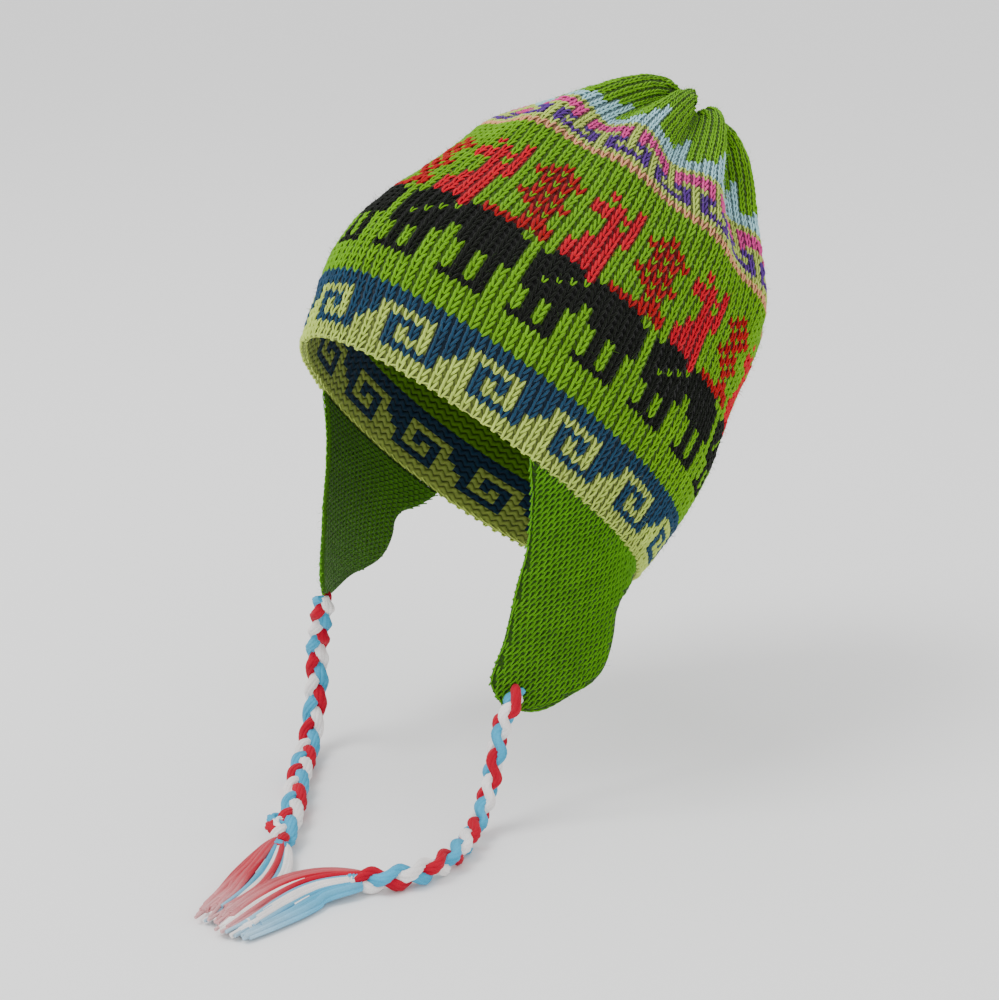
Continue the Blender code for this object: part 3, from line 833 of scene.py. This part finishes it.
def makeFlapStitches(side, wide, tall):
    a, b = np.meshgrid((np.arange(-8, int(wide) + 2) + 0.5) / wide,
                       (np.arange(int(tall) + 1) + 0.5) / tall)
    a, b = a.ravel(), b.ravel()
    margin, outline = flap["margin"], flapOutline()
    keep = np.all([insideOutline(a + da / wide, b + db / tall, outline)
                   for da, db in ((0, 0), (margin, 0), (-margin, 0), (0, margin))], axis=0)
    a, b = a[keep], b[keep]
    inset = flap["outerInset"] + knit["sink"]
    halfA, halfB = 0.5 / wide, 0.5 / tall
    right = (flapPoint(side, a + halfA, b, inset) - flapPoint(side, a - halfA, b, inset)) * sides[side]
    up = flapPoint(side, a, b - halfB, inset) - flapPoint(side, a, b + halfB, inset)
    return stitchCloud("flap_stitches_" + side, flapPoint(side, a, b, inset), right, up,
                       flap["stitchDepth"], tintOf["F"], flap["seed"] + sides[side])


def makeFlapEdge(side):
    outline = flapOutline()
    ring = flapPoint(side, outline[:, 0], outline[:, 1], flap["wall"] / 2)
    steps = lengthsAlong(ring)
    count = int(steps[-1] / flapEdge["spacing"])
    places = (np.arange(count) + 0.5) / count * steps[-1]
    at, ahead, behind = (readAlong(places + move, steps, ring)
                         for move in (0, flapEdge["reach"], -flapEdge["reach"]))
    along = (ahead - behind) * flapEdge["length"]
    at = at + unit(ring.mean(0) - at) * flapEdge["moveIn"]
    right = unit(np.cross(along, np.array([sides[side], 0.0, 0.1]))) * flapEdge["across"]
    return stitchCloud("flap_edge_" + side, at, right, along, flapEdge["depth"], tintOf["F"],
                       flapEdge["seed"] + sides[side])


flapPieces = {}
for side in sides:
    wide, tall = flap["width"] / flap["stitchWidth"], flap["length"][side] / flap["rowHeight"]
    flapPieces[side] = (makeFlapCloth(side, wide, tall), makeFlapStitches(side, wide, tall),
                        makeFlapEdge(side))


# Yarns that follow lines: a tree that gives each line its own thickness
yarnSizes = {"Sides": 6}


def lineTree():
    tree = Recipe("yarns on lines", yarnSizes)
    lines = tree.add("GeometryNodeMeshToCurve", Mesh=tree.start["Geometry"])
    yarns = tree.tube(lines, tree.named("thick", "FLOAT"), tree.start["Sides"], True)
    return tree.finish(tree.smooth(yarns))


yarnTree = lineTree()


def makeYarns(name, lines, material):
    # lines: (points, radius, tint) for each yarn; radius and tint are one for all or one for each point
    points, edges, radii, tints = [], [], [], []
    for line, radius, tint in lines:
        base = len(points)
        points += list(line)
        edges += [(base + k, base + k + 1) for k in range(len(line) - 1)]
        radii += list(np.broadcast_to(radius, len(line)))
        tints += list(np.broadcast_to(tint, (len(line), 3)))
    mesh = newMesh(name, points, edges)
    setValues(mesh, "thick", "FLOAT", radii)
    paint(mesh, tints)
    print(name, len(lines), "yarns")
    return runTree(addObject(name, mesh), yarnTree, {**yarnSizes, "Material": material})


def smoothRoute(points, step, pieces=24):
    points = np.array(points, float)
    ends = np.concatenate([[2 * points[0] - points[1]], points, [2 * points[-1] - points[-2]]])
    fine = [points[0]]
    for k in range(1, len(ends) - 2):
        p0, p1, p2, p3 = ends[k - 1:k + 3]
        for n in range(1, pieces + 1):
            t = n / pieces
            fine.append((2 * p1 + (p2 - p0) * t + (2 * p0 - 5 * p1 + 4 * p2 - p3) * t ** 2
                         + (3 * p1 - p0 - 3 * p2 + p3) * t ** 3) / 2)
    fine = np.array(fine)
    lengths = lengthsAlong(fine)
    places = np.linspace(0, lengths[-1], max(2, round(lengths[-1] / step)) + 1)
    return readAlong(places, lengths, fine)


# Ties: three-strand braids; routes as in the solid part, in metres
tie = {
    "diameter": 0.010,
    "repeat": {"left": (0.031, 0.033), "right": (0.031, 0.050)},  # of a strand, at flap and knot
    "phase": {"left": 0.6, "right": 2.2},
    "swingWide": 0.0027,  # of a strand's middle, to each side
    "swingThick": 0.0019,
    "strandWide": 0.0028,
    "strandThick": 0.0023,
    "yarnsPerStrand": 7,
    "yarnRadius": 0.00118,
    "strandTwist": 0.034,
    "closing": 0.006,  # over this length the strands draw together at both ends
    "step": 0.0012,
    "seed": 5,
}
tieRoutes = {
    "left": (
        (0.0597, -0.0260, -0.0965), (0.0620, -0.0315, -0.1090),
        (0.0624, -0.0352, -0.1215), (0.0645, -0.0425, -0.1325),
        (0.0710, -0.0525, -0.1347), (0.0788, -0.0642, -0.1347),
        (0.0842, -0.0775, -0.1347), (0.0848, -0.0910, -0.1347),
        (0.0810, -0.1035, -0.1347), (0.0748, -0.1120, -0.1347),
    ),
    "right": (
        (-0.0454, -0.0420, -0.0676), (-0.0489, -0.0407, -0.0747),
        (-0.0580, -0.0372, -0.0930), (-0.0580, -0.0380, -0.1100),
        (-0.0560, -0.0415, -0.1240), (-0.0500, -0.0480, -0.1325),
        (-0.0400, -0.0575, -0.1347), (-0.0185, -0.0760, -0.1347),
        (0.0044, -0.0940, -0.1347), (0.0205, -0.1085, -0.1347),
        (0.0300, -0.1178, -0.1347),
    ),
}
# Where each braid comes out of its flap, ahead of the route: the near one over the flap's face
tieHeads = {
    "left": (tuple(flapPoint("left", 0.020, 0.885, 0.0012)),
             tuple(flapPoint("left", -0.010, 0.930, -0.0022))),
    "right": ((-0.0437, -0.0426, -0.0641),),
}
# Which way the braid's broad side points along its route: share of the length, then a direction
tieTurns = {
    "left": ((0.0, (0.80, -0.55, 0.0)), (0.45, (0.75, -0.3, 0.6)), (0.8, (0.2, -0.2, 0.95)),
             (1.0, (0.2, -0.2, 0.95))),
    "right": ((0.0, (0.63, 0.77, 0.0)), (0.35, (0.63, 0.77, 0.0)), (0.7, (0.6, 0.7, 0.2)),
              (1.0, (0.6, 0.7, 0.2))),
}


def frameAlong(route, turns):
    # Directions across the braid: its broad side, then its thin one
    run = unit(np.gradient(route, axis=0))
    shares, directions = zip(*turns)
    wish = readAlong(np.linspace(0, 1, len(route)), shares, np.array(directions))
    wide = unit(wish - run * np.sum(wish * run, 1)[:, None])
    return wide, np.cross(run, wide)


def braidLines(side, route):
    luck = np.random.default_rng(tie["seed"])
    wide, thick = frameAlong(route, tieTurns[side])
    place = np.arange(len(route)) * np.linalg.norm(np.diff(route, axis=0), axis=1).mean()
    total = place[-1]
    closing = np.clip((np.minimum(place, total - place) + 0.003) / tie["closing"], 0.45, 1)
    first, last = tie["repeat"][side]
    pitch = first + (last - first) * np.clip(place / total * 2.2 - 0.7, 0, 1)
    done = np.concatenate([[0], np.cumsum(np.diff(place) / pitch[1:])])
    lines = []
    for k, colour in enumerate("rbw"):
        turn = 2 * math.pi * (done + k / 3) + tie["phase"][side]
        middle = route + wide * (tie["swingWide"] * np.sin(turn) * closing)[:, None]
        middle = middle + thick * (tie["swingThick"] * np.sin(2 * turn))[:, None]
        for n in range(tie["yarnsPerStrand"]):
            around = 2 * math.pi * (n / tie["yarnsPerStrand"] + place / tie["strandTwist"])
            spreadWide = (tie["strandWide"] - tie["yarnRadius"]) * np.cos(around) * closing
            spreadThick = (tie["strandThick"] - tie["yarnRadius"]) * np.sin(around) * closing
            line = middle + wide * spreadWide[:, None] + thick * spreadThick[:, None]
            radii = tie["yarnRadius"] * (1 + 0.05 * np.sin(place * 900 + n * 2.1 + k))
            lines.append((line, radii, np.array(tintOf[colour]) * luck.normal(1, 0.05)))
    return lines


routes = {side: smoothRoute(tieHeads[side] + tieRoutes[side], tie["step"]) for side in sides}
ties = {side: makeYarns("tie_braid_" + side, braidLines(side, route), braidWool)
        for side, route in routes.items()}


# Tassels: loose yarns past a wound knot, lying on the surface
tassel = {
    "yarns": 84,
    "pointsPerYarn": 26,
    "length": 0.060,
    "reach": (0.78, 1.04),  # of the length
    "spread": {"left": 0.0175, "right": 0.0135},
    "stray": 0.10,  # from a yarn's own place in the spread
    "sway": 0.0011,
    "pile": 0.0042,  # height of the top yarns over the bottom ones
    "floorGap": 0.0002,
    "yarnRadius": 0.00128,
    "tipRadius": 0.00070,
    "paleTips": 0.42,
    "seed": {"left": 21, "right": 22},
}
tasselSpines = {
    "left": ((-0.15, -0.24), (-0.12, -0.55), (0.00, -0.98)),
    "right": ((0.20, -0.25), (0.38, -0.52), (0.52, -0.88)),
}
# yarn colours from one side of the spread to the other
tasselColours = {"left": "rrrrwwrbwwbbbb", "right": "rrrrrwbbwrbbww"}


def tieEnd(side):
    # The last point of the tie, and the way it runs there
    route = routes[side]
    return route[-1], unit(route[-1] - route[-4])


def makeTassel(side):
    luck = np.random.default_rng(tassel["seed"][side])
    end, run = tieEnd(side)
    run[2] = 0
    floor = view["floor"] + tassel["floorGap"]
    spine = [np.array([end[0], end[1], 0.0]) - run * 0.002]
    for dx, dy in tasselSpines[side]:
        spine.append(np.array([end[0] + dx * tassel["length"], end[1] + dy * tassel["length"], 0.0]))
    line = smoothRoute(spine, 0.0008)
    ahead = unit(np.gradient(line, axis=0))
    across = np.stack([-ahead[:, 1], ahead[:, 0], np.zeros(len(line))], -1)
    lines = []
    colours, pale = tasselColours[side], np.array(tintOf["w"])
    for n in range(tassel["yarns"]):
        place = (n + 0.5) / tassel["yarns"] * 2 - 1
        place = float(np.clip(place + luck.normal(0, tassel["stray"]), -1.1, 1.1))
        reach = float(luck.uniform(*tassel["reach"]))
        layer = float(luck.uniform(0, 1)) * (1 - abs(place) * 0.6)
        colour = colours[int((place + 1.1) / 2.21 * len(colours))]
        if colour == "r":  # the red yarns lie on top
            layer = 0.55 + 0.6 * layer
        t = np.linspace(0, 1, tassel["pointsPerYarn"]) * reach
        tEnd = np.clip(t, 0, 1)
        k = t * (len(line) - 1)
        low = np.clip(np.floor(k).astype(int), 0, len(line) - 2)
        point = line[low] + (line[low + 1] - line[low]) * (k - low)[:, None]
        sway = luck.normal(0, tassel["sway"]) * np.sin(t * luck.uniform(4, 9) + luck.uniform(0, 6)) * t
        opening = 0.26 + 0.74 * np.sin(math.pi * tEnd ** 0.80 * 0.84)
        aside = tassel["spread"][side] * 0.72 * place * opening + sway
        point = point + across[low] * aside[:, None]
        radii = tassel["yarnRadius"] + (tassel["tipRadius"] - tassel["yarnRadius"]) * tEnd ** 3
        start = end[2] + layer * 0.004 - 0.0018
        rest = floor + tassel["yarnRadius"] + layer * tassel["pile"]
        ease = np.clip(t / 0.4, 0, 1)
        ease = ease * ease * (3 - 2 * ease)
        point[:, 2] = np.maximum(start + (rest - start) * ease - layer * 0.0020 * t ** 2, floor + radii)
        fading = np.clip(t * 1.4 - 0.5, 0, 1) ** 1.5
        share = (0.12 * luck.random() + tassel["paleTips"] * fading)[:, None]
        tint = (np.array(tintOf[colour]) * (1 - share) + pale * share) * luck.normal(1, 0.05)
        lines.append((point, radii, tint))
    return makeYarns("tassel_yarns_" + side, lines, braidWool)


# Knots: three yarns wound round the end of the braid
knot = {
    "turns": 2.3,
    "radius": 0.0024,
    "length": 0.0034,
    "apart": 0.0014,
    "flat": 0.8,
    "yarnRadius": 0.00105,
    "colours": {"left": "bbw", "right": "rbr"},
}


def makeKnot(side):
    end, run = tieEnd(side)
    wide = unit(np.cross(run, [0.0, 0.0, 1.0]))
    thick = np.cross(wide, run)
    turns = np.linspace(0, knot["turns"] * 2 * math.pi, 70)
    lines = []
    for n, colour in enumerate(knot["colours"][side]):
        radius = knot["radius"] + 0.0004 * math.sin(n * 2.0)
        shift = (turns / turns[-1] - 0.5) * knot["length"] + (n - 1) * knot["apart"]
        line = (end + run * 0.0008 + run[None, :] * shift[:, None]
                + wide[None, :] * (radius * np.cos(turns + n))[:, None]
                + thick[None, :] * (radius * knot["flat"] * np.sin(turns + n))[:, None])
        lines.append((line, knot["yarnRadius"], tintOf[colour]))
    return makeYarns("tie_knot_" + side, lines, braidWool)


# A turn of the far tie worked loose beside its end
loose = {
    "turns": ((0.850, 0.905, 0.0075, "b"),  # where it leaves and comes back, as shares of the route,
              (0.885, 0.950, 0.0070, "r"),  # then how far out it bows, in metres
              (0.865, 0.935, 0.0050, "w")),
    "lift": 0.0014,
    "yarns": 4,
    "strandRadius": 0.0010,
    "yarnRadius": 0.00110,
    "floorGap": 0.0013,
    "points": 22,
}


def makeLooseTurns(side):
    route = routes[side]
    lines = []
    for low, high, reach, colour in loose["turns"]:
        a, b = (route[int(share * (len(route) - 1))] for share in (low, high))
        out = unit(np.cross([0.0, 0.0, 1.0], unit(b - a)))
        out = out if out[0] + out[1] < 0 else -out
        t = np.linspace(0, 1, loose["points"])
        arch = np.sin(math.pi * t)
        middle = a + (b - a) * t[:, None] + out * (reach * arch)[:, None]
        middle[:, 2] += loose["lift"] * arch
        for n in range(loose["yarns"]):
            around = n * math.pi / 2 + t * 5
            line = middle + out * (loose["strandRadius"] * np.cos(around))[:, None]
            line[:, 2] += loose["strandRadius"] * np.sin(around)
            line[:, 2] = np.maximum(line[:, 2], view["floor"] + loose["floorGap"])
            lines.append((line, loose["yarnRadius"], tintOf[colour]))
    return makeYarns("tie_loose_" + side, lines, braidWool)


looseYarns = {"left": [], "right": [makeLooseTurns("right")]}
tassels = {side: makeTassel(side) for side in sides}
knots = {side: makeKnot(side) for side in sides}

for side, route in routes.items():
    extra = looseYarns[side]
    for piece in (ties[side], tassels[side], knots[side], *extra):
        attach(piece, "root")
    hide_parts("tie_" + side)
    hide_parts("tassel_" + side)
print("ties and tassels made")


# The last round is drawn together with a few turns of its own yarn
tip = {"turns": 2.6, "radius": 0.0042, "yarnRadius": 0.00125, "lift": 0.0012, "points": 60}


def makeTip():
    wales = np.arange(0, crown["stitches"], 4)
    centre = crownPoint(wales, 1.0, crown["outerInset"]).mean(0)
    up = unit(centre - crownPoint(wales, 0.85, 0.0).mean(0))
    right = unit(np.cross(up, [0.3, 1.0, 0.2]))
    ahead = np.cross(up, right)
    t = np.linspace(0, 1, tip["points"])
    angle = t * tip["turns"] * 2 * math.pi
    radius = tip["radius"] * (1 - 0.92 * t)
    line = (centre + right * (radius * np.cos(angle))[:, None]
            + ahead * (radius * np.sin(angle))[:, None] + up * (tip["lift"] * (t - 0.3))[:, None])
    return makeYarns("tip_gather", [(line, tip["yarnRadius"], tintOf["G"])], stitchWool)


crownPieces.append(makeTip())

# Wool fuzz: short fibres that stand out of the knit
fuzz = {"Density": 78000.0, "Length": 0.0024, "Thickness": 0.00006, "Seed": 11}


def fuzzTreeOf():
    tree = Recipe("wool fuzz", fuzz)
    length, thickness = (tree.value(tree.start[name]) for name in ("Length", "Thickness"))
    cloud = tree.add("GeometryNodeDistributePointsOnFaces", {"distribute_method": "RANDOM"},
                     Mesh=tree.start["Geometry"], Density=tree.start["Density"], Seed=tree.start["Seed"])
    fibre = tree.add("GeometryNodeCurvePrimitiveBezierSegment", Resolution=3, Start=(0.0, 0.0, 0.0),
                     Start_Handle=(0.0, 0.0, 0.5), End_Handle=(0.3, 0.0, 0.8), End=(0.75, 0.0, 0.85))
    share = tree.value(tree.add("GeometryNodeSplineParameter").outputs["Factor"])
    body = tree.tube(fibre, (1.05 - share) * (thickness / length), 3, False)
    spin = tree.add("FunctionNodeRandomValue", {"data_type": "FLOAT_VECTOR"},
                    at0=(-0.7, -0.7, 0.0), at1=(0.7, 0.7, 6.28), Seed=5)
    turned = tree.add("FunctionNodeRotateRotation", {"rotation_space": "LOCAL"},
                      Rotation=cloud.outputs["Rotation"], Rotate_By=spin)
    grow = tree.add("FunctionNodeRandomValue", {"data_type": "FLOAT"}, at2=0.45, at3=1.25, Seed=6)
    return tree.finish(tree.add("GeometryNodeInstanceOnPoints", Points=cloud, Instance=body,
                                Rotation=turned, Scale=tree.value(grow.outputs[1]) * length))


fuzzTree = fuzzTreeOf()


def outerCopy(name, points, tints, wrap):
    # A bare outer face for the fuzz to grow on
    rows, columns = points.shape[:2]
    faces = [corners for i, j, corners in gridFaces(rows, columns, wrap)]
    mesh = newMesh(name, points.reshape(-1, 3), faces=faces)
    paint(mesh, [tints(i, j) for i in range(rows) for j in range(columns)])
    return addObject(name, mesh)


def crownFuzz():
    wales, alongs = np.meshgrid(np.arange(crown["stitches"]) + 0.5,
                                (np.arange(crown["rows"]) + 0.5) / crown["rows"])
    points = crownPoint(wales, alongs, 0.0)
    piece = outerCopy("crown_fuzz", points, lambda i, j: tintOf[yarnAt(j, i)], True)
    return runTree(piece, fuzzTree, {**fuzz, "Material": fuzzWool})


def flapFuzz(side):
    points = flapPoint(side, *flapGrid(20, 14), 0.0)[::-sides[side]]
    piece = outerCopy("flap_fuzz_" + side, points, lambda i, j: tintOf["F"], False)
    return runTree(piece, fuzzTree, {**fuzz, "Seed": flap["fuzzSeed"], "Material": fuzzWool})


crownPieces.append(crownFuzz())
flapFuzzes = {side: flapFuzz(side) for side in sides}
print("fuzz made")

for piece in [crownCloth, *crownPieces]:
    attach(piece, "root")
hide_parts("crown")
for side, (cloth, stitches, edge) in flapPieces.items():
    for piece in (cloth, stitches, edge, flapFuzzes[side]):
        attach(piece, "root")
    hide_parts("ear_flap_" + side)


# Plain pale floor and soft studio light
studio = {
    "floorSize": 12.0,
    "floorDrop": 0.0004,  # under what the ties lie on
    "floorShade": (0.9, 0.9, 0.9, 1),
    "floorRoughness": 0.9,
    "world": 1.35,
    # power, place, width
    "lamps": {"key": (34.0, (-0.3, -1.2, 2.0), 1.0), "fill": (2.0, (1.9, 0.2, 0.9), 1.5)},
}


def addStudio():
    size, z = studio["floorSize"], view["floor"] - studio["floorDrop"]
    corners = [(-size, -size, z), (size, -size, z), (size, size, z), (-size, size, z)]
    mesh = newMesh("floor", corners, faces=[(0, 1, 2, 3)])
    paleFloor = Look("pale floor").finish({"Base Color": studio["floorShade"],
                                           "Roughness": studio["floorRoughness"]})
    addObject("floor", mesh, paleFloor)
    world = bpy.data.worlds.new("studio")
    world.use_nodes = True
    world.node_tree.nodes["Background"].inputs["Color"].default_value = (1, 1, 1, 1)
    world.node_tree.nodes["Background"].inputs["Strength"].default_value = studio["world"]
    bpy.context.scene.world = world
    for name, (power, place, width) in studio["lamps"].items():
        lamp = bpy.data.lights.new(name, "AREA")
        lamp.energy, lamp.size = power, width
        item = bpy.data.objects.new(name, lamp)
        bpy.context.scene.collection.objects.link(item)
        item.location = place
        away = Vector(place) - Vector(view["target"])
        item.rotation_euler = away.to_track_quat("Z", "Y").to_euler()


addStudio()
print("studio made")

bpy.context.view_layer.update()
